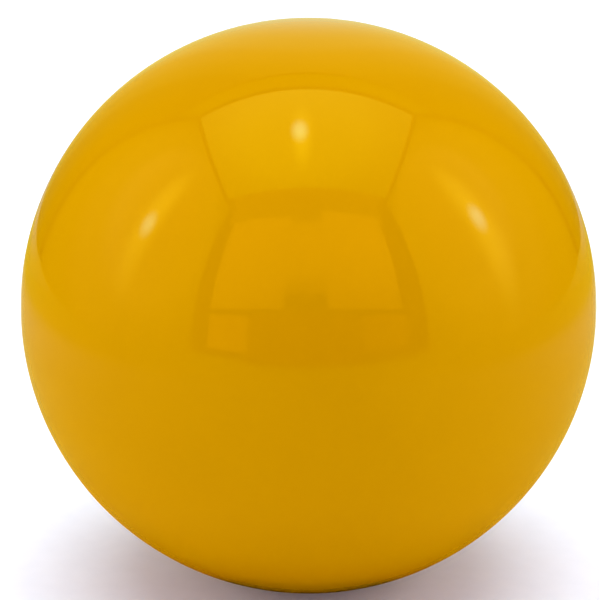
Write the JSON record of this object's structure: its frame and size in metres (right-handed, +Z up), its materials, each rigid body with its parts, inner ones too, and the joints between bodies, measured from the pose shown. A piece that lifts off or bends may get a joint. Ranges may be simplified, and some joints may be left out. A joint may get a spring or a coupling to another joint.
{
  "type": "numbered pool ball",
  "caption": "Solid yellow numbered pool ball in polished cast resin, with a white roundel and black numeral 1 let in flush on two opposite sides.",
  "frame": {"origin": "centre of the ball", "axes": "+X runs through both roundels, towards the right-hand one, whose numeral stands upright; +Z is up; -Y is the plain side that a viewer looking along +Y sees"},
  "size_m": [0.0572, 0.0572, 0.0572],
  "materials": {
    "yellow_resin": "polished",
    "white_resin": "polished",
    "black_resin": "polished"
  },
  "bodies": {
    "root": {"ball_body": "yellow_resin", "right_roundel": "white_resin", "right_numeral": "black_resin", "left_roundel": "white_resin", "left_numeral": "black_resin"}
  },
  "joints": []
}
